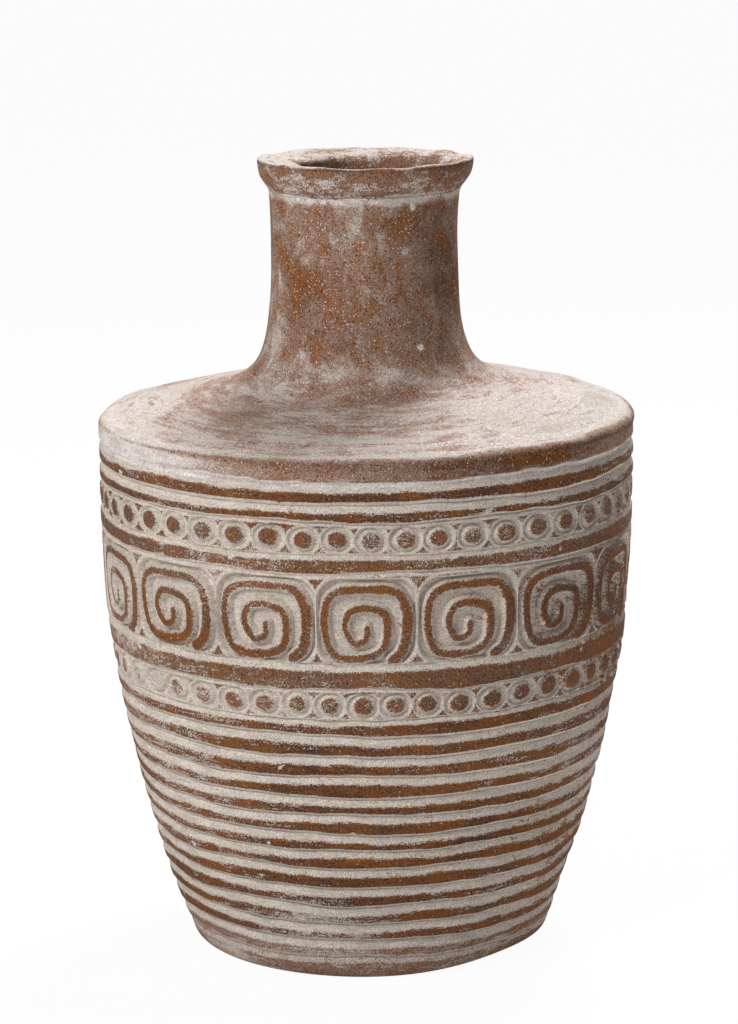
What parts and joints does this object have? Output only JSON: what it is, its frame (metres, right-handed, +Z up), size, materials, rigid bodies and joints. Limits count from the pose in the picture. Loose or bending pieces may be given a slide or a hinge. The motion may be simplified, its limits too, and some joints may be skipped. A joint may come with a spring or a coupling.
{
  "type": "terracotta vase",
  "caption": "Tall terracotta vase with a straight neck, rolled rim, shallow shoulder, carved spiral frieze between rows of stamped beads, and thrown ribs down to a flat foot.",
  "frame": {"origin": "middle of the flat underside, on the ground", "axes": "+Z up along the axis the vase was turned on, -Y towards the viewer of the picture, +X to the viewer's right"},
  "size_m": [0.331, 0.331, 0.4909],
  "materials": {
    "ribbed_clay": "matt fired clay, pale wash left in the grooves and wiped off the ribs",
    "carved_clay": "matt fired clay, pale wash left in the carving and wiped off the raised parts",
    "washed_clay": "matt fired clay under a cloudy brushed pale wash"
  },
  "bodies": {
    "root": {"base": "ribbed_clay", "lower_wall": "ribbed_clay", "middle_wall": "ribbed_clay", "lower_bead_course": "carved_clay", "spiral_course": "carved_clay", "upper_bead_course": "carved_clay", "shoulder_wall": "ribbed_clay", "shoulder": "washed_clay", "neck": "washed_clay", "rim": "washed_clay"}
  },
  "joints": []
}
